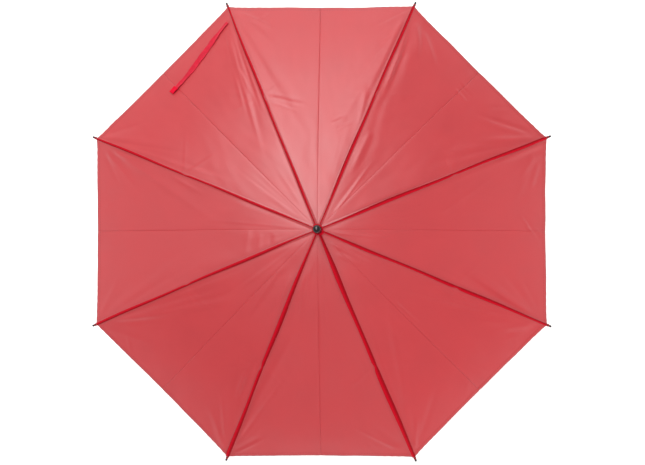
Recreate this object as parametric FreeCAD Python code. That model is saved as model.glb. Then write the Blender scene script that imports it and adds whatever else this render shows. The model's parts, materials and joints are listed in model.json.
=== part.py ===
import FreeCAD, Part
import math
import os

from FreeCAD import Vector

os.makedirs("parts", exist_ok=True)

# All sizes are in millimetres. The origin is the middle of the straight grip and +Z runs up the
# shaft to the ferrule. A rib's own frame has the rib in the XZ plane, pointing along +X.

# Layout along the shaft
crown_z = 705.0
shaft_bottom_z = -10.0
shaft_top_z = 770.0
handle_top_z = 42.0
grip_bottom_z = -45.0

# Shaft
shaft_radius = 5.0
shaft_wall = 0.5
seat_gap = 0.03

# Ribs: one arc from the crown wire to the tip
rib_count = 8
first_rib_deg = 22.5
half_gore_deg = 22.5
wire_ring_radius = 8.0
wire_radius = 0.5
rib_arc_radius = 969.0
rib_start_deg = 9.0
rib_end_deg = 42.42
rib_width = 2.8
rib_height = 2.6
rib_wall = 0.45
eye_radius = 1.6
eye_hole_radius = 0.6
blade_thickness = 1.2
blade_length = 8.0

# Joint between rib and stretcher
attach_arc_length = 300.0
attach_below_rib = 2.2
rivet_radius = 0.6
rivet_hole_radius = 0.65
ear_thickness = 0.6
ear_half_length = 4.0
stretcher_height = 2.4

# Rib tips
tip_outer_radius = 522.0
tip_radius = 2.3
tip_sleeve_back = 9.0
socket_gap = 0.05

# Canopy
cloth_above_rib = 2.7
cloth_thickness = 0.5
cloth_inner_radius = 12.0
cloth_corner_radius = 514.0
hem_middle_radius = 468.0
crease_gap = 0.15

# Closing strap, placed in the frame of the gore that it lies on
strap_rib = 3
strap_start = (436.0, -165.0)
strap_end = (415.0, 20.0)
strap_width = 13.0
strap_above_cloth = 0.4
strap_thickness = 0.8
fastener_side = 12.0
fastener_thickness = 1.2

# Crown notch and runner
notch_radius = 10.0
notch_half_height = 4.0
slot_width = 1.8
slot_inner_radius = 6.1
slot_past_eye = 2.2
wire_groove_radius = 0.55
runner_bore_radius = 5.2
runner_tube_radius = 7.2
runner_length = 52.0
runner_flange_radius = 10.5
runner_flange_height = 8.0

# Catch springs
catch_length = 45.0
catch_reach = 8.6
catch_thickness = 1.2
catch_pivot_x = 1.0
catch_pin_radius = 0.5
catch_slot_length = 23.0
top_catch_gap = 0.5
runner_window_width = 2.4
runner_window_length = 20.0

# Handle
handle_radius = 11.0
crook_radius = 34.0
crook_tail = 20.0
handle_collar_height = 10.0
handle_collar_radius = 12.0
handle_pin_radius = 1.0
handle_pin_z = 25.0

# Ferrule
ferrule_sleeve_radius = 6.2
ferrule_cap_radius = 7.8
ferrule_cap_length = 22.3
ferrule_cap_overlap = 15.0

up = Vector(0, 0, 1)
across = Vector(0, 1, 0)
arc_centre_x = wire_ring_radius - rib_arc_radius * math.sin(math.radians(rib_start_deg))
arc_centre_z = crown_z - rib_arc_radius * math.cos(math.radians(rib_start_deg))


def save(name, shape):
    shape.exportStep("parts/" + name + ".step")


def arc_point(radius, angle_deg):
    angle = math.radians(angle_deg)
    return Vector(arc_centre_x + radius * math.sin(angle), 0, arc_centre_z + radius * math.cos(angle))


def turned(shape, azimuth_deg):
    copy = shape.copy()
    copy.rotate(Vector(0, 0, 0), up, azimuth_deg)
    return copy


def polygon_face(points):
    return Part.Face(Part.makePolygon(list(points) + [points[0]]))


def revolved(profile):
    """A ring from (radius, z) points."""
    face = polygon_face([Vector(r, 0, z) for r, z in profile])
    return face.revolve(Vector(0, 0, 0), up, 360)


def ring(inner, outer, low, high):
    return revolved([(inner, low), (outer, low), (outer, high), (inner, high)])


def rod(radius, start, end):
    way = end - start
    return Part.makeCylinder(radius, way.Length, start, way)


def plate(points, thickness):
    """A flat plate in the rib's plane, centred on it, from (x, z) points."""
    face = polygon_face([Vector(x, -thickness / 2, z) for x, z in points])
    return face.extrude(Vector(0, thickness, 0))


def box_along(start, end, low, high, half_width):
    """A straight bar in the rib's plane, from low to high across the line between two points."""
    way = (end - start).normalize()
    side = Vector(-way.z, 0, way.x)
    corners = [start + side * low, end + side * low, end + side * high, start + side * high]
    return plate([(c.x, c.z) for c in corners], 2 * half_width)


def arc_bar(start_deg, end_deg, low, high, half_width):
    """A bar that follows the rib's arc, between two distances from its centre."""
    corners = [arc_point(radius, start_deg) for radius in (low, high)]
    a, b = corners
    face = polygon_face([a - across * half_width, a + across * half_width,
                         b + across * half_width, b - across * half_width])
    centre = Vector(arc_centre_x, 0, arc_centre_z)
    return face.revolve(centre, across, end_deg - start_deg)


def channel_on_arc(start_deg, end_deg):
    low = rib_arc_radius - rib_height / 2
    high = rib_arc_radius + rib_height / 2
    outside = arc_bar(start_deg, end_deg, low, high, rib_width / 2)
    hollow = arc_bar(start_deg - 0.1, end_deg + 0.1, low - 1, high - rib_wall, rib_width / 2 - rib_wall)
    return outside.cut(hollow)


def eye(centre, hole_radius):
    disc = Part.makeCylinder(eye_radius, blade_thickness, centre - across * blade_thickness / 2, across)
    hole = Part.makeCylinder(hole_radius, 4, centre - across * 2, across)
    return disc, hole


def eyed_blade(centre, towards, hole_radius):
    """The flattened end of a rib or stretcher, with its pivot hole."""
    disc, hole = eye(centre, hole_radius)
    way = (towards - centre).normalize()
    inner = box_along(centre, centre + way * (blade_length + 6), -1.2, 1.2, blade_thickness / 2)
    return disc.fuse(inner).cut(hole)


# Linkage: the stretcher is as long as the distance from the crown wire to its rivet on the rib,
# so the runner moves straight along the shaft as the ribs fold.
crown_pivot = Vector(wire_ring_radius, 0, crown_z)
attach_deg = rib_start_deg + math.degrees(attach_arc_length / rib_arc_radius)
attach_point = arc_point(rib_arc_radius - attach_below_rib, attach_deg)
stretcher_length = (attach_point - crown_pivot).Length
runner_z = 2 * attach_point.z - crown_z
runner_pivot = Vector(wire_ring_radius, 0, runner_z)


def make_rib():
    channel_start = rib_start_deg + math.degrees(blade_length / rib_arc_radius)
    channel = channel_on_arc(channel_start, rib_end_deg)
    blade = eyed_blade(crown_pivot, arc_point(rib_arc_radius, channel_start + 0.2), eye_hole_radius)
    return channel.fuse(blade).removeSplitter()


def make_rib_tip():
    end = arc_point(rib_arc_radius, rib_end_deg)
    angle = math.radians(rib_end_deg)
    way = Vector(math.cos(angle), 0, -math.sin(angle))
    point = end + way * ((tip_outer_radius - tip_radius - end.x) / way.x)
    sleeve = rod(tip_radius, end - way * tip_sleeve_back, point)
    shape = sleeve.fuse(Part.makeSphere(tip_radius, point))
    half_height = rib_height / 2 + socket_gap
    socket = arc_bar(rib_end_deg - 1.5, rib_end_deg + 0.01, rib_arc_radius - half_height,
                     rib_arc_radius + half_height, rib_width / 2 + socket_gap)
    return shape.cut(socket).removeSplitter()


def make_joiner():
    """Saddle bracket over the rib, and the rivet through its two ears."""
    along = Vector(math.cos(math.radians(attach_deg)), 0, -math.sin(math.radians(attach_deg)))
    outward = Vector(-along.z, 0, along.x)
    middle = attach_point + outward * attach_below_rib
    start = middle - along * ear_half_length
    end = middle + along * ear_half_length
    half_width = rib_width / 2 + ear_thickness
    bottom = -attach_below_rib - eye_radius
    bracket = box_along(start, end, bottom, rib_height / 2 + 0.4, half_width)
    inside = box_along(start - along, end + along, bottom - 1, rib_height / 2 + seat_gap, rib_width / 2 + seat_gap)
    hole = rod(rivet_radius + seat_gap, attach_point - across * 4, attach_point + across * 4)
    bracket = bracket.cut(inside).cut(hole)
    rivet = rod(rivet_radius, attach_point - across * half_width, attach_point + across * half_width)
    for side in (-1, 1):
        foot = attach_point + across * side * (half_width + seat_gap / 3)
        shank = attach_point + across * side * (half_width - 0.1)
        rivet = rivet.fuse(rod(rivet_radius, shank, foot))
        rivet = rivet.fuse(rod(1.1, foot, foot + across * side * 0.4))
    return Part.makeCompound([bracket, rivet.removeSplitter()])


def make_stretcher():
    way = (attach_point - runner_pivot).normalize()
    start = runner_pivot + way * blade_length
    end = attach_point - way * blade_length
    half = stretcher_height / 2
    outside = box_along(start, end, -half, half, rib_width / 2)
    hollow = box_along(start - way, end + way, -half - 1, half - rib_wall, rib_width / 2 - rib_wall)
    channel = outside.cut(hollow)
    inner = eyed_blade(runner_pivot, attach_point, eye_hole_radius)
    outer = eyed_blade(attach_point, runner_pivot, rivet_hole_radius)
    return channel.fuse([inner, outer]).removeSplitter()


def slotted_ring(bore, centre_z, open_way):
    """A ring that holds the pivot wire, with a slot per rib that is open outwards and to one end."""
    body = ring(bore, notch_radius, centre_z - notch_half_height, centre_z + notch_half_height)
    body = body.cut(Part.makeTorus(wire_ring_radius, wire_groove_radius, Vector(0, 0, centre_z)))
    reach = slot_past_eye + notch_half_height + 1
    low = centre_z - slot_past_eye if open_way > 0 else centre_z + slot_past_eye - reach
    corner = Vector(slot_inner_radius, -slot_width / 2, low)
    slot = Part.makeBox(8, slot_width, reach, corner)
    return body.cut([turned(slot, first_rib_deg + 45 * i) for i in range(rib_count)])


def make_catch(shoulder_z, flip):
    """Flat spring: a leg inside the tube and a sloped nose that stands out through its slot."""
    pivot_z = -catch_length
    outline = [
        (catch_pivot_x - 0.8, pivot_z - 2.2),
        (catch_pivot_x + 0.8, pivot_z - 2.2),
        (3.0, -27.0),
        (catch_reach, -1.5),
        (catch_reach, 0.0),
        (catch_pivot_x + 0.8, 0.0),
        (catch_pivot_x - 0.8, pivot_z + 3.0),
    ]
    shape = plate([(x, shoulder_z + flip * z) for x, z in outline], catch_thickness)
    centre = Vector(catch_pivot_x, 0, shoulder_z + flip * pivot_z)
    return shape.cut(rod(catch_pin_radius + 0.05, centre - across * 2, centre + across * 2))


def gore_sheet(low, high):
    """A gore's curved sheet in its own frame: the rib arc squeezed to the gore's middle plane."""
    squeeze = math.cos(math.radians(half_gore_deg))
    edges = []
    for rise in (low, high):
        points = []
        for step in range(25):
            point = arc_point(rib_arc_radius + rise, rib_start_deg - 1 + 36.0 * step / 24)
            points.append(Vector(point.x * squeeze, -300, point.z))
        curve = Part.BSplineCurve()
        curve.interpolate(points)
        edges.append(curve.toShape())
    start = Part.makeLine(edges[0].Vertexes[0].Point, edges[1].Vertexes[0].Point)
    end = Part.makeLine(edges[0].Vertexes[-1].Point, edges[1].Vertexes[-1].Point)
    outline = Part.Wire(Part.__sortEdges__([edges[0], end, edges[1], start]))
    return Part.Face(outline).extrude(Vector(0, 600, 0))


def hem_x(y):
    """How far out the hem is, in the gore's frame: an arc drawn in between the two corners."""
    half_chord = cloth_corner_radius * math.sin(math.radians(half_gore_deg))
    dip = cloth_corner_radius * math.cos(math.radians(half_gore_deg)) - hem_middle_radius
    hem_arc_radius = (half_chord ** 2 + dip ** 2) / (2 * dip)
    return hem_middle_radius + hem_arc_radius - math.sqrt(hem_arc_radius ** 2 - y ** 2)


def make_canopy_segment():
    """The half gores on the two sides of a rib, in the rib's frame."""
    half = math.radians(half_gore_deg)
    corner_y = -cloth_corner_radius * math.sin(half)
    inner = Vector(cloth_inner_radius * math.cos(half), -cloth_inner_radius * math.sin(half), 0)
    corner = Vector(hem_x(corner_y), corner_y, 0)
    quarter = Vector(hem_x(corner_y / 2), corner_y / 2, 0)
    middle = Vector(hem_x(crease_gap), -crease_gap, 0)
    crease_start = Vector(cloth_inner_radius, -crease_gap, 0)
    hem = Part.Arc(corner, quarter, middle).toShape()
    sides = [
        Part.makeLine(inner, corner),
        hem,
        Part.makeLine(middle, crease_start),
        Part.makeLine(crease_start, inner),
    ]
    cutter = Part.Face(Part.Wire(sides)).extrude(Vector(0, 0, 1000))
    sheet = gore_sheet(cloth_above_rib, cloth_above_rib + cloth_thickness)
    one_side = turned(sheet.common(cutter), half_gore_deg)
    other_side = one_side.mirror(Vector(0, 0, 0), across)
    return one_side.fuse(other_side).removeSplitter()


def strap_cutter(from_end, length, width):
    """An upright block over a stretch of the strap, measured back from its free end."""
    end = Vector(strap_end[0], strap_end[1], 0)
    start = Vector(strap_start[0], strap_start[1], 0)
    way = (start - end).normalize()
    side = Vector(-way.y, way.x, 0) * width / 2
    near = end + way * from_end
    far = near + way * length
    return polygon_face([near + side, far + side, far - side, near - side]).extrude(Vector(0, 0, 1000))


def make_crook():
    straight = Part.makeCylinder(handle_radius, handle_top_z - grip_bottom_z, Vector(0, 0, grip_bottom_z))
    bend = Part.makeTorus(crook_radius, handle_radius, Vector(0, 0, 0), across)
    bend = bend.common(Part.makeBox(200, 200, 100, Vector(-100, -100, -100)))
    bend.translate(Vector(crook_radius, 0, grip_bottom_z))
    tail = Part.makeCylinder(handle_radius, crook_tail, Vector(2 * crook_radius, 0, grip_bottom_z))
    crook = straight.fuse([bend, tail]).removeSplitter()
    bore_bottom = shaft_bottom_z - 1
    bore = Part.makeCylinder(shaft_radius + seat_gap, handle_top_z - bore_bottom + 1, Vector(0, 0, bore_bottom))
    pin_hole = rod(handle_pin_radius + seat_gap, Vector(0, -20, handle_pin_z), Vector(0, 20, handle_pin_z))
    return crook.cut(bore).cut(pin_hole)


# Shaft with its catch slots and cross holes
top_shoulder_z = runner_z - runner_length - top_catch_gap
closed_fold_deg = 62.7
closed_attach = math.degrees(math.atan2(attach_point.x - wire_ring_radius, crown_z - attach_point.z))
closed_runner_z = crown_z - 2 * stretcher_length * math.cos(math.radians(closed_attach - closed_fold_deg))
bottom_shoulder_z = closed_runner_z - runner_length + runner_flange_height + 3.0
catch_pivots = [
    Vector(catch_pivot_x, 0, top_shoulder_z - catch_length),
    Vector(catch_pivot_x, 0, bottom_shoulder_z + catch_length),
]
crown_pin_z = crown_z + 2.8

shaft = ring(shaft_radius - shaft_wall, shaft_radius, shaft_bottom_z, shaft_top_z)
top_slot = Part.makeBox(6, slot_width, catch_slot_length, Vector(1, -slot_width / 2, top_shoulder_z - 22))
bottom_slot = Part.makeBox(6, slot_width, catch_slot_length, Vector(1, -slot_width / 2, bottom_shoulder_z - 1))
shaft = shaft.cut([top_slot, bottom_slot])
pin_holes = [rod(catch_pin_radius + seat_gap, p - across * 8, p + across * 8) for p in catch_pivots]
pin_holes.append(rod(0.8 + seat_gap, Vector(-8, 0, crown_pin_z), Vector(8, 0, crown_pin_z)))
pin_holes.append(rod(handle_pin_radius + seat_gap, Vector(0, -8, handle_pin_z), Vector(0, 8, handle_pin_z)))
save("shaft_tube", shaft.cut(pin_holes))
pins = [rod(catch_pin_radius, p - across * 4.85, p + across * 4.85) for p in catch_pivots]
save("catch_pins", Part.makeCompound(pins))
save("top_catch_spring", make_catch(top_shoulder_z, 1))
save("bottom_catch_spring", make_catch(bottom_shoulder_z, -1))

# Crown
notch = slotted_ring(shaft_radius + seat_gap, crown_z, -1)
notch = notch.cut(rod(0.8 + seat_gap, Vector(-12, 0, crown_pin_z), Vector(12, 0, crown_pin_z)))
save("crown_notch", notch)
save("crown_wire", Part.makeTorus(wire_ring_radius, wire_radius, Vector(0, 0, crown_z)))
save("crown_pin", rod(0.8, Vector(-9.8, 0, crown_pin_z), Vector(9.8, 0, crown_pin_z)))

# Canopy's centre and the ferrule
rosette_low = crown_z + 4.3
save("canopy_rosette", revolved([
    (6.3, rosette_low),
    (10.5, rosette_low),
    (15.5, rosette_low - 0.3),
    (15.5, rosette_low + 0.7),
    (11.0, rosette_low + 1.2),
    (6.3, rosette_low + 1.2),
]))
collar_low = rosette_low + 1.25
save("canopy_collar", revolved([
    (ferrule_sleeve_radius + seat_gap, collar_low),
    (9.5, collar_low),
    (9.5, collar_low + 1.5),
    (7.4, collar_low + 6.0),
    (ferrule_sleeve_radius + seat_gap, collar_low + 6.0),
]))
cap_low = shaft_top_z - ferrule_cap_overlap
save("ferrule_sleeve", ring(shaft_radius + seat_gap, ferrule_sleeve_radius, crown_z + 4.1, cap_low + 3))
cap = Part.makeCylinder(ferrule_cap_radius, ferrule_cap_length - ferrule_cap_radius, Vector(0, 0, cap_low))
cap = cap.fuse(Part.makeSphere(ferrule_cap_radius, Vector(0, 0, cap_low + ferrule_cap_length - ferrule_cap_radius)))
cap = cap.cut(Part.makeCylinder(20, 20, Vector(0, 0, cap_low - 20)))
cap = cap.cut(Part.makeCylinder(shaft_radius + seat_gap, ferrule_cap_overlap + 0.05, Vector(0, 0, cap_low)))
cap = cap.cut(Part.makeCylinder(ferrule_sleeve_radius + seat_gap, 3.05, Vector(0, 0, cap_low)))
save("ferrule_cap", cap.removeSplitter())

# Runner
runner = slotted_ring(runner_bore_radius, runner_z, 1)
tube_bottom = runner_z - runner_length
runner = runner.fuse(ring(runner_bore_radius, runner_tube_radius, tube_bottom, runner_z - notch_half_height))
runner = runner.fuse(revolved([
    (runner_bore_radius, tube_bottom),
    (runner_flange_radius - 1.0, tube_bottom),
    (runner_flange_radius, tube_bottom + 1.0),
    (runner_flange_radius, tube_bottom + 3.5),
    (runner_tube_radius, tube_bottom + runner_flange_height),
    (runner_bore_radius, tube_bottom + runner_flange_height),
])).removeSplitter()
window_low = bottom_shoulder_z - 0.6 + (runner_z - closed_runner_z)
window_corner = Vector(3, -runner_window_width / 2, window_low)
runner = runner.cut(Part.makeBox(9, runner_window_width, runner_window_length, window_corner))
save("runner_sleeve", runner)
save("runner_wire", Part.makeTorus(wire_ring_radius, wire_radius, Vector(0, 0, runner_z)))

# Handle
save("handle_crook", make_crook())
collar_top = handle_top_z + handle_collar_height
save("handle_collar", revolved([
    (shaft_radius + seat_gap, handle_top_z),
    (handle_collar_radius - 0.6, handle_top_z),
    (handle_collar_radius, handle_top_z + 0.6),
    (handle_collar_radius, collar_top - 4.0),
    (8.0, collar_top),
    (shaft_radius + seat_gap, collar_top),
]))
end_cap = Part.makeCylinder(handle_radius + 0.4, 3, Vector(0, 0, 0))
dome = Part.makeSphere(18, Vector(0, 0, 3 - 13.88)).common(Part.makeCylinder(handle_radius + 0.4, 20, Vector(0, 0, 3)))
end_cap = end_cap.fuse(dome).removeSplitter()
end_cap.translate(Vector(2 * crook_radius, 0, grip_bottom_z + crook_tail))
save("handle_end_cap", end_cap)
save("handle_pin", rod(handle_pin_radius, Vector(0, -10.7, handle_pin_z), Vector(0, 10.7, handle_pin_z)))

# Ribs, stretchers and canopy, once round
rib = make_rib()
rib_tip = make_rib_tip()
joiner = make_joiner()
stretcher = make_stretcher()
segment = make_canopy_segment()
for number in range(1, rib_count + 1):
    azimuth = first_rib_deg + 45 * (number - 1)
    save("rib_%d" % number, turned(rib, azimuth))
    save("rib_tip_%d" % number, turned(rib_tip, azimuth))
    save("rib_joiner_%d" % number, turned(joiner, azimuth))
    save("stretcher_%d" % number, turned(stretcher, azimuth))
    save("canopy_segment_%d" % number, turned(segment, azimuth))

# Closing strap and its fastener pad, on the gore after the strap's rib
gore_azimuth = first_rib_deg + 45 * (strap_rib - 1) + half_gore_deg
strap_low = cloth_above_rib + cloth_thickness + strap_above_cloth
strap_high = strap_low + strap_thickness
strap_length = math.hypot(strap_end[0] - strap_start[0], strap_end[1] - strap_start[1])
strap = gore_sheet(strap_low, strap_high).common(strap_cutter(0, strap_length, strap_width))
save("closing_strap", turned(strap, gore_azimuth))
pad = gore_sheet(strap_high, strap_high + fastener_thickness)
pad = pad.common(strap_cutter(0.5, fastener_side, fastener_side))
save("strap_fastener", turned(pad, gore_azimuth))
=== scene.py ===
import json
import math
import random

import bmesh
import bpy
import numpy as np
from mathutils import Matrix, Vector, noise


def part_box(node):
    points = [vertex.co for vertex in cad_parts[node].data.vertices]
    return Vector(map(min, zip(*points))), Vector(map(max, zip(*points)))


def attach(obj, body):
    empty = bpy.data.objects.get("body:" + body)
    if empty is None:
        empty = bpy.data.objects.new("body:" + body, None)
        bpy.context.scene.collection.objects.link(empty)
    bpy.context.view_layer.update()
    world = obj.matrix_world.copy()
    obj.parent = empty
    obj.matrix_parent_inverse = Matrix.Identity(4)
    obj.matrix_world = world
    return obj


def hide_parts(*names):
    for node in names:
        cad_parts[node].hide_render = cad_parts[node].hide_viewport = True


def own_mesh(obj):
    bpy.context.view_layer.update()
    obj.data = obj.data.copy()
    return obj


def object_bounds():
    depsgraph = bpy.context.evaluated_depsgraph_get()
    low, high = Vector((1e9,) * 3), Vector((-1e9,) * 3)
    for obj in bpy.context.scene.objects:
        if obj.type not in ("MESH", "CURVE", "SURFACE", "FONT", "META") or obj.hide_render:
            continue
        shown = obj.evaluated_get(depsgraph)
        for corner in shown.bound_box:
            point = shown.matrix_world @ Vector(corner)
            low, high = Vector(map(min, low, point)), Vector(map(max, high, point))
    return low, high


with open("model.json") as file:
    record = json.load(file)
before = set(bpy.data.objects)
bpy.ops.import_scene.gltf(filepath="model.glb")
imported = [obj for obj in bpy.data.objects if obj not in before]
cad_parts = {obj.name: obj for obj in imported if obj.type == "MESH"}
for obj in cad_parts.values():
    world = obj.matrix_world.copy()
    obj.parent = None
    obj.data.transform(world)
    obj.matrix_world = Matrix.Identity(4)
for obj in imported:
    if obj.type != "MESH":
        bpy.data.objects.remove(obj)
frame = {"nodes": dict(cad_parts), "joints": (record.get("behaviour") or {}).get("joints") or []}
cad_box = [list(corner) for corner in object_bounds()]

# Shaft, crown pins and catch springs -------------------------------------------------------------
# The shaft is a drawn steel tube with a baked black enamel. The wires, cross pins and springs are
# plain bright spring steel, pressed or riveted into place.


def linear(hex_colour):
    """An sRGB hex colour as the linear RGBA that a shader socket takes."""
    parts = [int(hex_colour[i:i + 2], 16) / 255 for i in (1, 3, 5)]
    return [c / 12.92 if c <= 0.04045 else ((c + 0.055) / 1.055) ** 2.4 for c in parts] + [1.0]


def add(tree, kind, settings=None, links=None):
    """Adds one node: settings fill its sockets or properties, and links feed its inputs."""
    made = tree.nodes.new(kind)
    for key, value in (settings or {}).items():
        if isinstance(key, int) or key in made.inputs:
            made.inputs[key].default_value = value
        else:
            setattr(made, key, value)
    for key, source in (links or {}).items():
        tree.links.new(source, made.inputs[key])
    return made


def start_finish(name, **shader):
    """A new material. Returns it with its tree and its shader, whose sockets are set by name."""
    material = bpy.data.materials.new(name)
    material.use_nodes = True
    principled = material.node_tree.nodes["Principled BSDF"]
    for key, value in shader.items():
        principled.inputs[key.replace("_", " ")].default_value = value
    return material, material.node_tree, principled


def speckled(name, dark, light, speck_mm, rough, bump_mm, stretch=(1, 1, 1), **shader):
    """A hard finish: two near colours in specks, with its roughness and its bump from the same
    pattern. stretch draws the specks out along an axis, as brushing or drawing does."""
    material, tree, principled = start_finish(name, **shader)
    place = add(tree, "ShaderNodeTexCoord")
    spread = add(tree, "ShaderNodeMapping", {"Scale": stretch}, {"Vector": place.outputs["Object"]})
    specks = add(tree, "ShaderNodeTexNoise", {"Scale": 1000 / speck_mm, "Detail": 4.0},
                 {"Vector": spread.outputs["Vector"]})
    colour = add(tree, "ShaderNodeValToRGB", links={"Fac": specks.outputs["Fac"]})
    colour.color_ramp.elements[0].color = linear(dark)
    colour.color_ramp.elements[1].color = linear(light)
    gloss = add(tree, "ShaderNodeMapRange", {"To Min": rough[0], "To Max": rough[1]},
                {"Value": specks.outputs["Fac"]})
    relief = add(tree, "ShaderNodeBump", {"Strength": 0.35, "Distance": bump_mm / 1000},
                 {"Height": specks.outputs["Fac"]})
    tree.links.new(colour.outputs["Color"], principled.inputs["Base Color"])
    tree.links.new(gloss.outputs["Result"], principled.inputs["Roughness"])
    tree.links.new(relief.outputs["Normal"], principled.inputs["Normal"])
    return material


def paint(material, *names):
    """Gives CAD nodes this finish."""
    for name in names:
        mesh = frame["nodes"][name].data
        mesh.materials.clear()
        mesh.materials.append(material)


# Baked enamel on steel: near black, smooth, with a faint orange peel about 1 mm across.
black_enamel = speckled("black_enamelled_steel", "#0E0E10", "#1A1A1D", 1.0, (0.24, 0.36), 0.02)
# Drawn spring steel: grey metal with fine lines along the wire.
spring_steel = speckled("drawn_spring_steel", "#8C8E92", "#B9BBBF", 0.8, (0.22, 0.42), 0.02, Metallic=1.0)
paint(black_enamel, "shaft_tube")
paint(spring_steel, "crown_wire", "runner_wire", "crown_pin", "catch_pins", "handle_pin",
      "top_catch_spring", "bottom_catch_spring")

# Ribs, stretchers and joiners --------------------------------------------------------------------
# Ribs and stretchers are folded from thin steel strip into a channel and enamelled black. The
# joiners are stamped, zinc-plated saddles, each with one rivet.

every_rib = range(1, 9)
crown = next(j for j in frame["joints"] if j["name"] == "canopy_fold")["pos_m"]
crown_z = crown[2] * 1000
ring_radius = math.hypot(crown[0], crown[1]) * 1000
first_rib = math.radians(22.5)
# Each rib is one arc in its own upright plane. It starts tilted down by 9 degrees at the crown wire.
rib_arc_radius = 969.0
rib_start = math.radians(9)
arc_x = ring_radius - rib_arc_radius * math.sin(rib_start)
arc_z = crown_z - rib_arc_radius * math.cos(rib_start)


def rib_azimuth(rib):
    """How far round the shaft a rib stands."""
    return first_rib + math.radians(45) * (rib - 1)


zinc_plate = speckled("zinc_plated_steel", "#77797C", "#A4A6A8", 1.5, (0.3, 0.5), 0.02, Metallic=1.0)
paint(black_enamel, *["rib_%d" % i for i in every_rib], *["stretcher_%d" % i for i in every_rib])
paint(zinc_plate, *["rib_joiner_%d" % i for i in every_rib])

# Rib tips ----------------------------------------------------------------------------------------
# Each rib ends in a moulded black nylon tip with a ball end, pushed over the channel. The canopy's
# corner is sewn to it.

# Moulded nylon, gloss: deep black with soft reflections.
black_nylon = speckled("black_moulded_nylon", "#060607", "#0D0D0E", 2.0, (0.25, 0.36), 0.015,
                       Specular_IOR_Level=0.25)
paint(black_nylon, *["rib_tip_%d" % i for i in every_rib])

# Each corner is tied on with red polyester thread, wound four times round the tip's neck.
tip_neck_radius = 2.3
thread_at = 513.0
thread_pitch = 0.75
thread_turns = 4


def to_object(shape, name, material):
    """Turns a bmesh into an object at the origin, shaded smooth, with one finish."""
    mesh = bpy.data.meshes.new(name)
    shape.to_mesh(mesh)
    shape.free()
    mesh.polygons.foreach_set("use_smooth", [True] * len(mesh.polygons))
    mesh.materials.append(material)
    piece = bpy.data.objects.new(name, mesh)
    bpy.context.scene.collection.objects.link(piece)
    return piece


def as_piece(shape, name, material):
    """A closed solid piece, its doubles merged and its faces turned outwards."""
    bmesh.ops.remove_doubles(shape, verts=shape.verts, dist=1e-6)
    bmesh.ops.recalc_face_normals(shape, faces=shape.faces)
    return to_object(shape, name, material)


def lathe(profile, steps=64):
    """A closed ring of (radius, height) points in mm, spun round the shaft."""
    shape = bmesh.new()
    points = [shape.verts.new((r / 1000, 0, z / 1000)) for r, z in profile]
    edges = [shape.edges.new((points[i - 1], points[i])) for i in range(len(points))]
    bmesh.ops.spin(shape, geom=points + edges, cent=(0, 0, 0), axis=(0, 0, 1), angle=2 * math.pi,
                   steps=steps, use_merge=True)
    bmesh.ops.remove_doubles(shape, verts=shape.verts, dist=1e-7)
    bmesh.ops.recalc_face_normals(shape, faces=shape.faces)
    return shape


def wound_thread(rib):
    """Four touching turns of thread round a tip, where the canopy's corner ends."""
    turn = math.asin((thread_at - arc_x) / rib_arc_radius)
    spot = Vector((thread_at, 0, arc_z + rib_arc_radius * math.cos(turn))) / 1000
    half_length = thread_turns * thread_pitch / 2
    profile = []
    for coil in range(thread_turns):
        for step in range(5):
            share = (step + 0.5) / 5
            radius = tip_neck_radius + 0.15 + 0.4 * math.sin(math.pi * share)
            profile.append((radius, (coil + share) * thread_pitch - half_length))
    profile += [(tip_neck_radius - 0.1, half_length), (tip_neck_radius - 0.1, -half_length)]
    shape = lathe(profile, steps=32)
    along = Matrix.Rotation(math.pi / 2 + turn, 4, "Y")
    bmesh.ops.transform(shape, matrix=Matrix.Translation(spot) @ along, verts=shape.verts)
    round_shaft = Matrix.Rotation(rib_azimuth(rib), 3, "Z")
    bmesh.ops.rotate(shape, cent=(0, 0, 0), matrix=round_shaft, verts=shape.verts)
    return as_piece(shape, "tip_thread_%d" % rib, sewing_thread)


# Spun polyester thread: deep red and matt, mottled as its fibres are, about 0.5 mm across.
sewing_thread = speckled("red_polyester_thread", "#8A0A14", "#B01420", 0.5, (0.7, 0.85), 0.1)
for rib in every_rib:
    thread = wound_thread(rib)
    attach(thread, "rib_%d" % rib)

# Crown notch and runner --------------------------------------------------------------------------
# Both are moulded in black acetal: slotted rings that hold the wires the ribs and stretchers turn
# on. The runner's sleeve slides on the shaft.

# Moulded acetal, matt: a faint grain about 0.6 mm across.
black_acetal = speckled("black_moulded_acetal", "#101012", "#1E1E20", 0.6, (0.42, 0.58), 0.03)
paint(black_acetal, "crown_notch", "runner_sleeve")

# Handle ------------------------------------------------------------------------------------------
# The crook is injection moulded in black ABS with a satin surface, and pinned to the shaft. A
# chromed brass collar covers the joint, and a plug closes the crook's end.

# Satin ABS: black, with a fine spark-eroded grain about 0.5 mm across.
black_abs = speckled("black_moulded_abs", "#111113", "#1C1C1E", 0.5, (0.36, 0.5), 0.03)
# Chrome plate on brass: bright, with a slight waviness from polishing.
chrome = speckled("chrome_plated_brass", "#C9CBCE", "#DEDFE1", 4.0, (0.06, 0.14), 0.005, Metallic=1.0)

crook_low, crook_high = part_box("handle_crook")
grip_radius = 0.011
groove_radius = 0.0104
groove_spacing = 0.0064
crook_radius = (crook_high.x - crook_low.x) / 2 - grip_radius
crook_centre = Vector((crook_radius, 0, crook_low.z + grip_radius + crook_radius))
# Radii and depths down the grip, from its top: a soft shoulder, then three shallow finger grooves.
grip_steps = [(groove_radius, 0.0), (grip_radius, 0.0008), (grip_radius, 0.010)]
for groove in range(3):
    edge = 0.010 + groove * groove_spacing
    grip_steps += [(groove_radius, edge + 0.0012), (groove_radius, edge + 0.0022),
                   (grip_radius, edge + 0.0034), (grip_radius, edge + groove_spacing)]
grip_steps[-1] = (grip_radius, 0.05)
grip_steps.append((grip_radius, crook_high.z - crook_centre.z))

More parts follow.
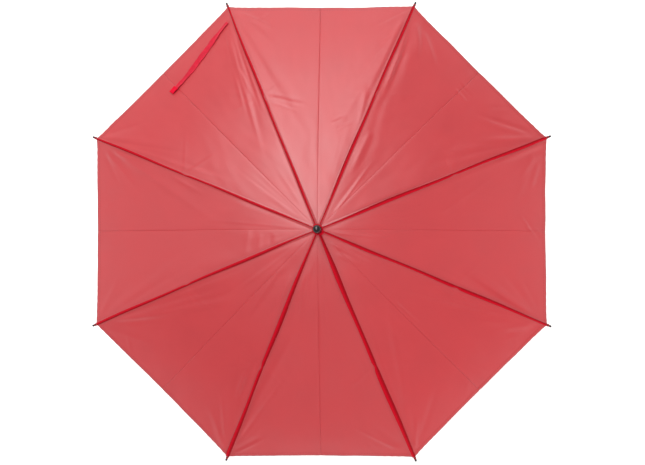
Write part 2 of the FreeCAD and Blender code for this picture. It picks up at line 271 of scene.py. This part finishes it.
shape = bmesh.new()
bore = bmesh.ops.create_circle(shape, radius=0.0051, segments=48)["verts"]
bmesh.ops.translate(shape, verts=bore, vec=(0, 0, crook_high.z))
rim = list(shape.edges)
for radius, depth in grip_steps:
    grown = bmesh.ops.extrude_edge_only(shape, edges=rim)["geom"]
    ring = [v for v in grown if isinstance(v, bmesh.types.BMVert)]
    rim = [e for e in grown if isinstance(e, bmesh.types.BMEdge)]
    for v in ring:
        around = Vector((v.co.x, v.co.y)).normalized() * radius
        v.co = (around.x, around.y, crook_high.z - depth)
turned = bmesh.ops.spin(shape, geom=rim + ring, cent=crook_centre, axis=(0, 1, 0), angle=-math.pi,
                        steps=40)
rim = [e for e in turned["geom_last"] if isinstance(e, bmesh.types.BMEdge)]
plug_low, plug_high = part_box("handle_end_cap")
grown = bmesh.ops.extrude_edge_only(shape, edges=rim)["geom"]
bmesh.ops.translate(shape, verts=[v for v in grown if isinstance(v, bmesh.types.BMVert)],
                    vec=(0, 0, plug_low.z - crook_centre.z))
bmesh.ops.holes_fill(shape, edges=[e for e in grown if isinstance(e, bmesh.types.BMEdge)], sides=0)
handle = as_piece(shape, "crook_handle", black_abs)
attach(handle, "shaft")
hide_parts("handle_crook")

collar_low, collar_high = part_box("handle_collar")
top, foot = collar_high.z * 1000, collar_low.z * 1000
shape = lathe([(5.05, foot), (11.5, foot), (12.0, foot + 0.5), (12.0, foot + 3.0), (11.5, foot + 3.3),
               (11.5, foot + 3.8), (12.0, foot + 4.1), (12.0, foot + 5.6), (11.2, foot + 7.2),
               (9.6, foot + 8.8), (8.0, top - 0.3), (7.4, top), (5.05, top)])
collar = as_piece(shape, "chromed_collar", chrome)
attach(collar, "shaft")
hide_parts("handle_collar")

shape = lathe([(0.01, 0), (10.9, 0), (11.4, 0.5), (11.4, 2.7), (10.8, 3.4), (9.2, 4.6), (6.6, 5.9),
               (3.4, 6.8), (0.01, 7.1)])
bmesh.ops.translate(shape, verts=shape.verts, vec=((plug_low.x + plug_high.x) / 2, 0, plug_low.z))
plug = as_piece(shape, "crook_end_plug", black_nylon)
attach(plug, "shaft")
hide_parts("handle_end_cap")

# Canopy cloth ------------------------------------------------------------------------------------
# Eight gores of thin red polyester pongee are sewn together and stretched over the ribs. The cloth
# bends over each rib, is pulled into fine folds from the tips, the crown and the rib joints, and
# keeps the crease of its packing down the middle of every gore.

# Lengths in mm. cloth_rise is how far the cloth's outside lies above the rib's arc, and
# attach_radius is where the rib joiners pull at it.
half_gore = math.radians(22.5)
cloth_rise = 3.0
cloth_inner_radius = 8.0
corner_radius = 511.0
attach_radius = 291.0
hem_middle = 468.0
hem_half_width = 195.0
hem_fold = 6.5


def smooth(t):
    """Rises from 0 to 1 as t does, with level ends."""
    t = np.clip(t, 0, 1)
    return t * t * (3 - 2 * t)


def hem_at(y):
    """How far out the hem lies in the gore's frame, in mm: nearly straight, with a small point
    drawn out at each corner."""
    bow = 2.4 * (y / hem_half_width) ** 2
    return hem_middle + bow + 1.8 * smooth((np.abs(y) - 174) / 22)


def fold(x, y, start, way, length, width, height):
    """What one pulled fold adds, in mm: a narrow ridge with a softer hollow along one side."""
    along = (x - start[0]) * way[0] + (y - start[1]) * way[1]
    off = (y - start[1]) * way[0] - (x - start[0]) * way[1]
    reach = smooth(along / (0.2 * length)) * smooth((length - along) / (0.5 * length))
    hollow = 0.6 * np.exp(-((off - 1.8 * width) / (1.5 * width)) ** 2)
    return height * reach * (np.exp(-(off / width) ** 2) - hollow)


# The strongest folds, each as its start (x, y), its direction in degrees, its length, width and
# height in mm, in the frame of its own gore.
strong_folds = {
    1: [(425, 168, 206, 170, 6, 2.6), (385, 146, 204, 130, 4, 1.6), (450, 168, 231, 70, 7, 1.8),
        (448, 146, 240, 96, 6, 1.5), (216, 66, 200, 110, 6, 1.6), (402, 12, 265, 44, 3, 1.0),
        (418, 14, 265, 44, 3, -0.9), (37, -2, 9, 150, 3, 0.8)],
    2: [(268, 106, 257, 92, 3.5, 1.0), (256, 98, 250, 68, 3, -0.5), (209, -24, 295, 40, 2.5, 0.9),
        (196, -36, 298, 42, 2.5, 0.7), (290, -96, 170, 130, 6, 1.2)],
    3: [(425, -156, 152, 250, 3.2, 1.0), (390, -128, 151, 150, 3, 0.9), (415, -163, 155, 200, 3, -1.1),
        (351, -118, 161, 80, 2.5, 0.8), (436, -150, 153, 170, 2.5, -0.8)],
    4: [(112, 2, 84, 60, 6, 0.5), (92, 4, 90, 44, 5, -0.5), (134, -4, 80, 64, 6, 0.6),
        (439, -164, 164, 160, 5, 1.5), (300, -112, 150, 90, 4, 0.9)],
    5: [(277, 88, 20, 110, 5, 1.3), (92, 23, 22, 180, 6, 1.5), (89, -1, 10, 165, 5, 0.9),
        (306, 98, 24, 70, 3.5, 1.2)],
    6: [(78, -24, 345, 122, 5, 0.9), (62, -13, 351, 115, 4, 0.7), (62, 20, 17, 78, 4, 0.8)],
    7: [(22, -5, 17, 120, 4, 1.0), (56, -7, 18, 70, 5, 1.0), (200, 6, 3, 85, 3, -0.6),
        (56, 16, 20, 106, 5, 0.9)],
    8: [(466, 184, 204, 130, 6, 2.0), (444, 160, 238, 75, 6, 1.5), (454, 146, 250, 75, 6, 1.3),
        (410, 29, 312, 44, 3, 1.0), (419, 12, 319, 44, 3, 0.9), (22, -5, 354, 140, 3, 0.7)],
}


def gore_folds(gore):
    """The folds of one gore, as (start, way, length, width, height) in its own frame, in mm: the
    strong ones, then fans from both tips, from both rib joints, from the crown and off the hem."""
    chance = random.Random(4100 + gore)
    folds = []
    for x, y, turn_deg, length, width, height in strong_folds[gore]:
        way = (math.cos(math.radians(turn_deg)), math.sin(math.radians(turn_deg)))
        folds.append(((x, y), way, length, width, height))
    for side in (-1, 1):
        tip = (corner_radius * math.cos(half_gore), side * corner_radius * math.sin(half_gore))
        pull = chance.choice((0.35, 0.6, 0.9))
        for angle_deg in (3, 5.5, 8.5, 12, 17, 25, 38):
            turn = half_gore + math.radians(angle_deg + chance.uniform(-1.2, 1.2))
            way = (-math.cos(turn), -side * math.sin(turn))
            gap = chance.uniform(8, 40)
            start = (tip[0] + way[0] * gap, tip[1] + way[1] * gap)
            length = chance.uniform(0.6, 1.1) * (330 if angle_deg < 13 else 140)
            folds.append((start, way, length, chance.uniform(3.5, 8.5), pull * chance.uniform(-1.5, 2.3)))
        joint = (attach_radius * math.cos(half_gore), side * attach_radius * math.sin(half_gore))
        for lean_deg in chance.sample((58, 84, 112), 2):
            turn = half_gore + math.radians(lean_deg + chance.uniform(-8, 8))
            way = (-math.cos(turn), -side * math.sin(turn))
            folds.append((joint, way, chance.uniform(50, 120), chance.uniform(3.0, 5.0),
                          chance.uniform(0.05, 0.45)))
    for _ in range(7):
        turn = chance.uniform(-0.34, 0.34)
        way = (math.cos(turn), math.sin(turn))
        inner = chance.uniform(20, 70)
        start = (way[0] * inner, way[1] * inner)
        folds.append((start, way, chance.uniform(80, 260), chance.uniform(3.0, 7.5),
                      chance.uniform(-0.3, 0.38)))
    for _ in range(4):
        hem_y = chance.uniform(-120, 120)
        turn = math.pi + chance.uniform(-0.9, 0.9)
        folds.append(((462, hem_y), (math.cos(turn), math.sin(turn)), chance.uniform(25, 70),
                      chance.uniform(3, 6), chance.uniform(-0.5, 0.6)))
    return folds


folds_of_gore = {gore: gore_folds(gore) for gore in every_rib}


def cloth_height(gore, x, y):
    """How far the cloth stands off the smooth gore, in mm, at points of the gore's frame."""
    from_rib = (x * math.tan(half_gore) - np.abs(y)) * math.cos(half_gore)
    from_crease = np.abs(y)
    from_hem = hem_at(y) - x
    height = np.zeros_like(x)
    for one in folds_of_gore[gore]:
        height += fold(x, y, *one)
    height += np.array([
        1.3 * noise.noise(Vector((px / 95, py / 60, gore * 7.3)))
        + 0.35 * noise.noise(Vector((px / 30, py / 16, gore * 3.1)))
        for px, py in zip(x, y)
    ])
    near_hem = np.exp(-np.clip(from_hem, 0, None) / 9)
    height += 0.25 * np.sin(y / 2.3 + gore) * near_hem * smooth((np.abs(y) - 60) / 110)
    height -= 0.5 * np.exp(-from_crease / 2.6)
    height *= smooth(from_rib / 14)
    height += 0.35 * (1 - smooth((from_hem - hem_fold) / 1.5))
    height -= 0.3 * np.exp(-((from_hem - hem_fold + 0.3) / 0.9) ** 2)
    gutter = smooth(from_rib / 5) * np.exp(-np.clip(from_rib - 5, 0, None) / 9)
    return height - 1.3 * gutter


def gore_points(gore, x, y, lift):
    """Points of the cloth's outside in the object's frame, in metres, from the gore's plan in mm."""
    rib_radius = x / math.cos(half_gore)
    radius = rib_arc_radius + cloth_rise
    turn = np.arcsin((rib_radius - arc_x) / radius)
    slope = np.tan(turn) / math.cos(half_gore)
    size = np.sqrt(1 + slope ** 2)
    rise = lift + cloth_height(gore, x, y)
    px = x + rise * slope / size
    pz = arc_z + radius * np.cos(turn) + rise / size
    azimuth = rib_azimuth(gore) + half_gore
    c, s = math.cos(azimuth), math.sin(azimuth)
    return np.stack([px * c - y * s, px * s + y * c, pz], 1) / 1000


def grid_piece(name, along, across, place, material):
    """A sheet made from a flat grid. place takes each vertex's two shares, from 0 to 1, and gives
    its points and its UV maps."""
    shape = bmesh.new()
    bmesh.ops.create_grid(shape, x_segments=along, y_segments=across, size=1)
    shape.verts.ensure_lookup_table()
    shares = np.array([((v.co.x + 1) / 2, (v.co.y + 1) / 2) for v in shape.verts])
    points, maps = place(shares[:, 0], shares[:, 1])
    for v, point in zip(shape.verts, points):
        v.co = point
    shape.normal_update()
    if sum(f.normal.z for f in shape.faces) < 0:
        bmesh.ops.reverse_faces(shape, faces=shape.faces)
    for map_name, values in maps.items():
        layer = shape.loops.layers.uv.new(map_name)
        for f in shape.faces:
            for loop in f.loops:
                loop[layer].uv = values[loop.vert.index]
    return to_object(shape, name, material)


def thicken(piece, thickness):
    """Gives a sheet its thickness, inwards from its outside."""
    wall = piece.modifiers.new("thickness", "SOLIDIFY")
    wall.thickness = thickness
    wall.offset = -1


weave_mm = 2.3686
stitch_mm = 5.5268


def waves(tree, spacing_mm, axis, source, **shape):
    """Even lines across one axis. A wave repeats every 2 pi / 20 of its scaled coordinate."""
    settings = {"Scale": 2 * math.pi / 20 * 1000 / spacing_mm, "bands_direction": axis, **shape}
    return add(tree, "ShaderNodeTexWave", settings, {"Vector": source})


def pongee(name, deep, bright, drift_mm, hem_mm, **shader):
    """Polyester pongee: a dense plain weave of fine yarn. Its threads are 0.15 mm apart, drawn
    here 2.4 mm apart so that they show, and its colour drifts slightly over a few centimetres.
    With a hem_mm, painted shade darkens the cloth at its edge and beside its seam, standing in for the
    light that shines through less where it lies doubled, and a row of stitches runs along the hem, 5.5 mm
    apart so that they show."""
    material, tree, principled = start_finish(name, **shader)
    plan = add(tree, "ShaderNodeUVMap", {"uv_map": "plan"}).outputs["UV"]
    drift = add(tree, "ShaderNodeTexNoise", {"Scale": 1000 / drift_mm, "Detail": 3.0, "Roughness": 0.6},
                {"Vector": plan})
    warp = waves(tree, weave_mm, "X", plan, Distortion=0.6)
    weft = waves(tree, weave_mm, "Y", plan, Distortion=0.6)
    weave = add(tree, "ShaderNodeMath", {"operation": "MULTIPLY"},
                {0: warp.outputs["Fac"], 1: weft.outputs["Fac"]})
    yarn = add(tree, "ShaderNodeTexNoise", {"Scale": 1000 / 2.5, "Detail": 2.0}, {"Vector": plan})
    ground = add(tree, "ShaderNodeMix", {"data_type": "RGBA", 6: linear(deep), 7: linear(bright)},
                 {0: drift.outputs["Fac"]})
    threads = add(tree, "ShaderNodeMapRange", {"To Min": 0.93, "To Max": 1.04},
                  {"Value": yarn.outputs["Fac"]})
    shaded = add(tree, "ShaderNodeVectorMath", {"operation": "SCALE"},
                 {"Vector": ground.outputs[2], "Scale": threads.outputs["Result"]})
    colour = shaded.outputs["Vector"]
    if hem_mm:
        edges = add(tree, "ShaderNodeUVMap", {"uv_map": "edges"})
        split = add(tree, "ShaderNodeSeparateXYZ", links={"Vector": edges.outputs["UV"]})
        # Painted shade: darker within 3 mm of the hem and within 4.5 mm of the rib, standing in for less
        # light shining through the doubled cloth.
        hem = add(tree, "ShaderNodeMapRange",
                  {"From Min": 0.0006, "From Max": hem_mm / 1000, "To Min": 0.62, "To Max": 1.0},
                  {"Value": split.outputs["X"]})
        seam = add(tree, "ShaderNodeMapRange",
                   {"From Min": 0.001, "From Max": 0.0045, "To Min": 0.74, "To Max": 1.0},
                   {"Value": split.outputs["Y"]})
        both = add(tree, "ShaderNodeMath", {"operation": "MULTIPLY"},
                   {0: hem.outputs["Result"], 1: seam.outputs["Result"]})
        doubled_shade_colour = add(tree, "ShaderNodeVectorMath", {"operation": "SCALE"},
                      {"Vector": colour, "Scale": both.outputs["Value"]})
        row = add(tree, "ShaderNodeMath", {"operation": "COMPARE", 1: 0.0062, 2: 0.0004},
                  {0: split.outputs["X"]})
        spaced = waves(tree, stitch_mm, "Y", plan)
        stitch = add(tree, "ShaderNodeMath", {"operation": "MULTIPLY"},
                     {0: row.outputs["Value"], 1: spaced.outputs["Fac"]})
        sewn = add(tree, "ShaderNodeMix", {"data_type": "RGBA", 7: linear("#7E0C14")},
                   {0: stitch.outputs["Value"], 6: doubled_shade_colour.outputs["Vector"]})
        colour = sewn.outputs[2]
    relief = add(tree, "ShaderNodeBump", {"Strength": 0.12, "Distance": 0.0002},
                 {"Height": weave.outputs["Value"]})
    gloss = add(tree, "ShaderNodeMapRange", {"To Min": 0.46, "To Max": 0.54},
                {"Value": drift.outputs["Fac"]})
    tree.links.new(colour, principled.inputs["Base Color"])
    tree.links.new(gloss.outputs["Result"], principled.inputs["Roughness"])
    tree.links.new(relief.outputs["Normal"], principled.inputs["Normal"])
    return material


red_pongee = pongee("red_polyester_pongee", "#A0131C", "#AC1820", 70, 3.0, IOR=1.525,
                    Specular_IOR_Level=1.0)


def half_gore_sheet(rib, side):
    """The cloth from one rib to the crease of the gore beside it. Its rows lie closer together
    towards the hem."""
    gore = rib if side > 0 else (rib - 2) % 8 + 1

    def place(down, out):
        down = down * (1.38 - 0.38 * down)
        share = 0.5 * out + 0.25 * (1 - np.cos(math.pi * out))
        edge = np.full_like(down, 475.0)
        # Four rounds bring the edge from this first guess to the curved hem.
        for _ in range(4):
            edge = hem_at((1 - share) * edge * math.tan(half_gore))
        inner = cloth_inner_radius * math.cos(half_gore)
        x = inner + (edge - inner) * down
        y = -side * (1 - share) * x * math.tan(half_gore)
        from_rib = share * x * math.sin(half_gore)
        maps = {"plan": np.stack([x, y], 1) / 1000,
                "edges": np.stack([edge - x, from_rib], 1) / 1000}
        return gore_points(gore, x, y, 0), maps

    name = "canopy_%d_%s" % (rib, "left" if side > 0 else "right")
    return grid_piece(name, 220, 64, place, red_pongee)


def gather(piece):
    """Gives a piece of cloth its own copy of its mesh."""
    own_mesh(piece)


# Half a gore is cut as a triangle, 190 mm at the hem with its allowance and 560 mm along the rib.
for rib in every_rib:
    for side in (1, -1):
        sheet = half_gore_sheet(rib, side)
        thicken(sheet, 0.00035)
        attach(sheet, "rib_%d" % rib)
        if side > 0:
            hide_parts("canopy_segment_%d" % rib)
        gather(sheet)

# Seams -------------------------------------------------------------------------------------------
# Each two gores are joined along their rib by a felled seam: four layers of cloth in a narrow raised band.
# Its folded lip lies to one side and leaves a thin step, and the shadow of that step is painted dark into
# the band's colour.

# Visible widths in mm. Some bands lie flat and others stand partly on edge.
seam_width = {1: 7.0, 2: 6.0, 3: 5.4, 4: 5.2, 5: 6.2, 6: 8.6, 7: 10.0, 8: 7.0}


def seam_cloth():
    """The same pongee in four layers: deeper, hardly any sheen, puckered by its stitches, which are drawn
    6 mm apart so that they show, with painted shadow darkening its first edge and, most of all, its last
    half towards the lip's step."""
    material, tree, principled = start_finish("felled_seam_pongee", Specular_IOR_Level=0.1, Roughness=0.7)
    band = add(tree, "ShaderNodeUVMap", {"uv_map": "band"})
    split = add(tree, "ShaderNodeSeparateXYZ", links={"Vector": band.outputs["UV"]})
    # Painted shadow: the band is darker at its first edge and over its last half, where the lip's step
    # would throw shade.
    lip = add(tree, "ShaderNodeValToRGB", links={"Fac": split.outputs["Y"]})
    stops = lip.color_ramp.elements
    stops[0].color = linear("#8A0010")
    stops[1].color = linear("#80000D")
    for share, colour in ((0.1, "#B0001A"), (0.4, "#A80017"), (0.58, "#900010"), (0.86, "#86000E")):
        stops.new(share).color = linear(colour)
    wear = add(tree, "ShaderNodeTexNoise", {"Scale": 1000 / 14, "Detail": 3.0},
               {"Vector": band.outputs["UV"]})
    tone = add(tree, "ShaderNodeMapRange", {"To Min": 0.75, "To Max": 1.2},
               {"Value": wear.outputs["Fac"]})
    shaded = add(tree, "ShaderNodeVectorMath", {"operation": "SCALE"},
                 {"Vector": lip.outputs["Color"], "Scale": tone.outputs["Result"]})
    stitches = waves(tree, seam_stitch_mm, "X", band.outputs["UV"])
    relief = add(tree, "ShaderNodeBump", {"Strength": 0.4, "Distance": 0.0003},
                 {"Height": stitches.outputs["Fac"]})
    tree.links.new(shaded.outputs["Vector"], principled.inputs["Base Color"])
    tree.links.new(relief.outputs["Normal"], principled.inputs["Normal"])
    return material


seam_stitch_mm = 5.9216
felled_seam = seam_cloth()
seam_start = 9.0


def seam_piece(rib):
    """The raised band over one rib, drawn narrower where it steps aside at the joiner."""
    chance = random.Random(700 + rib)
    phase = chance.uniform(0, 6)
    break_at = attach_radius + chance.uniform(-8, 8)
    c, s = math.cos(rib_azimuth(rib)), math.sin(rib_azimuth(rib))

    def place(down, out):
        radius = seam_start + (corner_radius - 1 - seam_start) * down
        arc = rib_arc_radius + cloth_rise
        turn = np.arcsin((radius - arc_x) / arc)
        knot = np.exp(-((radius - break_at) / 7) ** 2)
        width = seam_width[rib] * (0.86 + 0.14 * np.sin(radius / 47 + phase)) * (1 - 0.35 * knot)
        width *= 0.5 + 0.5 * smooth((radius - 10) / 90)
        wander = 0.5 * np.sin(radius / 31 + 2 * phase) + 0.9 * knot
        off = (out - 0.5) * width + wander
        # The band is humped across, lower at its ends, and its last edge turns down to the cloth.
        ends = smooth((radius - seam_start) / 14) * smooth((corner_radius + 2 - radius) / 9)
        stand = 0.95 * np.clip(np.sin(math.pi * (0.06 + 0.8 * out)), 0, 1) ** 0.5 - 0.5
        stand = stand * (0.35 + 0.65 * ends) + 0.3 * out
        stand = np.where(out > 0.95, -1.3, stand)
        px = radius + stand * np.sin(turn)
        pz = arc_z + arc * np.cos(turn) + stand * np.cos(turn)
        points = np.stack([px * c - off * s, px * s + off * c, pz], 1) / 1000
        return points, {"band": np.stack([radius / 1000, out], 1)}

    return grid_piece("seam_%d" % rib, 260, 12, place, felled_seam)


for rib in every_rib:
    seam = seam_piece(rib)
    thicken(seam, 0.0004)
    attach(seam, "rib_%d" % rib)

# Rosette, collar, ferrule and cap ----------------------------------------------------------------
# A gathered ring of the canopy's cloth seals the hole round the shaft. A black collar presses it
# down, and above it the enamelled ferrule ends in a glossy domed cap.

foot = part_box("canopy_rosette")[0].z * 1000
shape = lathe([(6.3, foot + 0.1), (7.5, foot), (9.0, foot - 0.2), (10.2, foot - 0.4), (10.6, foot - 0.1),
               (10.2, foot + 0.4), (9.2, foot + 1.1), (7.8, foot + 1.45), (6.3, foot + 1.5)], steps=180)
# The gathers: fine ripples all round, and two tufts that stand out further.
for v in shape.verts:
    turn = math.atan2(v.co.y, v.co.x)
    reach = (Vector((v.co.x, v.co.y)).length - 0.0063) / 0.0043
    tuft = math.exp(-((turn + 0.75) / 0.5) ** 2) + 0.5 * math.exp(-((turn - 2.2) / 0.35) ** 2)
    spread = reach * (0.28 * tuft + 0.05 * math.sin(19 * turn) + 0.04 * math.sin(31 * turn + 1))
    v.co.x *= 1 + spread
    v.co.y *= 1 + spread
    v.co.z += reach * (0.0004 * math.cos(26 * turn) + 0.0005 * tuft)
rosette = as_piece(shape, "gathered_rosette", felled_seam)
layer = rosette.data.uv_layers.new(name="band")
for loop in rosette.data.loops:
    co = rosette.data.vertices[loop.vertex_index].co
    layer.data[loop.index].uv = (math.atan2(co.y, co.x) * 0.012, 0.3)
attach(rosette, "shaft")
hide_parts("canopy_rosette")

# Moulded gloss plastic: polished black with an even, sharp reflection.
black_gloss = speckled("polished_black_plastic", "#050506", "#0A0A0B", 3.0, (0.08, 0.12), 0.002,
                       Specular_IOR_Level=0.6)
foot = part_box("canopy_collar")[0].z * 1000
shape = lathe([(6.25, foot), (8.2, foot), (8.5, foot + 0.4), (8.5, foot + 1.3), (8.2, foot + 1.9),
               (7.8, foot + 3.2), (7.6, foot + 4.8), (7.3, foot + 5.8), (7.1, foot + 6.0),
               (6.25, foot + 6.0)])
collar = as_piece(shape, "canopy_clamp_collar", black_gloss)
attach(collar, "shaft")
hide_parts("canopy_collar")

low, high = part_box("ferrule_cap")
foot, top = low.z * 1000, high.z * 1000
cap_radius = (high.x - low.x) / 2 * 1000
dome = [(cap_radius * math.cos(a), top - cap_radius + cap_radius * math.sin(a))
        for a in np.linspace(0, math.pi / 2 - 0.002, 24)]
wall = [(6.25, foot), (cap_radius - 0.5, foot), (cap_radius, foot + 0.5), (cap_radius, foot + 3),
        (cap_radius, foot + 8)]
socket = [(0.02, top - 7), (5.05, top - 7.3), (5.05, foot + 3.1), (6.25, foot + 3.0)]
shape = lathe(wall + dome + socket, steps=96)
cap = as_piece(shape, "domed_cap", black_gloss)
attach(cap, "shaft")
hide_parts("ferrule_cap")
paint(black_enamel, "ferrule_sleeve")

# Closing strap -----------------------------------------------------------------------------------
# A doubled band of the canopy's cloth, sewn into the hem beside one tip, lies loose and slightly
# twisted on its gore. A square hook-and-loop pad is stitched to its free end.

strap_gore = 3
strap_start = np.array([444.0, -170.0])
strap_end = np.array([417.0, 14.0])
strap_way = strap_end - strap_start
strap_length = float(np.hypot(*strap_way))
strap_way = strap_way / strap_length
strap_side = np.array([-strap_way[1], strap_way[0]])
strap_pongee = pongee("strap_pongee", "#8E0016", "#CE1836", 9, 0, Specular_IOR_Level=0.2)


def strap_points(down, out, lift):
    """The band narrows, bends and rolls a little on its way to the free end."""
    distance = down * strap_length
    width = 6.0 + 5.5 * smooth(down / 0.35) * (1 - 0.5 * smooth((down - 0.6) / 0.25))
    width += 0.7 * np.sin(31 * down) + 0.5 * np.sin(67 * down + 1)
    bow = 2.2 * np.sin(math.pi * down) - 1.6 * np.sin(2.3 * math.pi * down)
    across = (out - 0.5) * width
    x = strap_start[0] + strap_way[0] * distance + strap_side[0] * (across + bow)
    y = strap_start[1] + strap_way[1] * distance + strap_side[1] * (across + bow)
    roll = 1.1 * np.sin(2.6 * math.pi * down + 0.4) * (out - 0.5) * 2
    curl = 0.5 * np.cos(math.pi * (out - 0.5)) + 0.25 * np.sin(9 * math.pi * down)
    stand = lift + 1.25 + np.abs(roll) * 0.6 + roll * 0.4 + curl * 0.6
    return gore_points(strap_gore, x, y, stand)


def place_strap(down, out):
    """The band's points, with its cloth laid out flat as its UV map."""
    return strap_points(down, out, 0), {"plan": np.stack([down * strap_length / 1000, out * 0.012], 1)}


def place_pad(down, out):
    """The pad covers the last 16 mm of the band and stands a little wider than it."""
    points = strap_points(1.01 - 0.085 * (1 - down), 0.5 + 1.35 * (out - 0.5), 0.9)
    return points, {"plan": np.stack([down * 0.018, out * 0.013], 1)}


strap = grid_piece("closing_band", 150, 14, place_strap, strap_pongee)
thicken(strap, 0.0008)
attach(strap, "rib_3")
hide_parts("closing_strap")

# Hook-and-loop pile: a matt bright red nap of short loops about 0.8 mm across.
pile = speckled("hook_and_loop_pile", "#B0001E", "#CE062C", 0.8, (0.85, 0.95), 0.4, Specular_IOR_Level=0.1)
pad = grid_piece("strap_pad", 14, 14, place_pad, pile)
thicken(pad, 0.0009)
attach(pad, "rib_3")
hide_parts("strap_fastener")
for piece in (strap, pad):
    gather(piece)

# Floor, light and camera -------------------------------------------------------------------------
# A plain white floor in an even white room. A broad key light stands on the far side, with soft
# reflections over and behind it, and low lamps fill the other sides. The camera looks down from
# 3 m above the rim.

rim_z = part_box("rib_tip_1")[0].z
bpy.ops.mesh.primitive_plane_add(size=14, location=(0, 0, cad_box[0][2] - 0.002))
floor = bpy.context.object
floor.name = "studio_floor"
paper, tree, principled = start_finish("white_studio_paper", Roughness=0.9, Specular_IOR_Level=0.1)
place = add(tree, "ShaderNodeTexCoord")
grain = add(tree, "ShaderNodeTexNoise", {"Scale": 1000 / 2.5}, {"Vector": place.outputs["Object"]})
tone = add(tree, "ShaderNodeMix", {"data_type": "RGBA", 6: linear("#FBFBFB"), 7: linear("#FEFEFE")},
           {0: grain.outputs["Fac"]})
tree.links.new(tone.outputs[2], principled.inputs["Base Color"])
floor.data.materials.append(paper)

world = bpy.data.worlds.new("studio")
bpy.context.scene.world = world
world.use_nodes = True
world.node_tree.nodes["Background"].inputs["Color"].default_value = (1, 1, 1, 1)
world.node_tree.nodes["Background"].inputs["Strength"].default_value = 0.48


def soft_light(name, place, target, size, power, glossy=True, diffuse=True):
    """A round lamp, power in watts, that can leave out its reflection or its diffuse light."""
    lamp = bpy.data.lights.new(name, "AREA")
    lamp.shape = "DISK"
    lamp.size = size
    lamp.energy = power
    holder = bpy.data.objects.new(name, lamp)
    holder.location = place
    holder.rotation_euler = (Vector(target) - Vector(place)).to_track_quat("-Z", "Y").to_euler()
    holder.visible_camera = False
    holder.visible_glossy = glossy
    holder.visible_diffuse = diffuse
    bpy.context.scene.collection.objects.link(holder)


soft_light("key", (-0.7, 1.75, 3.0), (0, 0, 0.6), 1.9, 52)
soft_light("overhead", (-0.35, 0.2, 4.0), (0, 0, 0.6), 2.1, 52, diffuse=False)
soft_light("back", (-0.2, 3.2, 2.3), (0, 0.1, 0.5), 2.4, 32, diffuse=False)
for turn in range(3):
    side = Matrix.Rotation(math.radians(90 * turn), 3, "Z") @ Vector((2.0, 0, 1.2))
    soft_light("side_%d" % turn, side, (0, 0, 0.5), 1.4, 21, glossy=False)
soft_light("fill", (0.6, -2.7, 2.0), (0, 0, 0.4), 2.0, 72, glossy=False)

# The field of view is 1.356 m wide at the rim.
camera_height = 3.0
camera = bpy.data.cameras.new("camera")
camera.sensor_width = 36
camera.lens = 36 * camera_height / 1.3560
holder = bpy.data.objects.new("camera", camera)
aim = Vector((0.0032, -0.0025, rim_z))
holder.location = aim + Vector((0.073, -0.038, camera_height))
back = (holder.location - aim).normalized()
right = Vector((0, 1, 0)).cross(back).normalized()
holder.rotation_euler = Matrix((right, back.cross(right), back)).transposed().to_euler()
bpy.context.scene.collection.objects.link(holder)
bpy.context.scene.camera = holder
bpy.context.scene.view_settings.view_transform = "Standard"
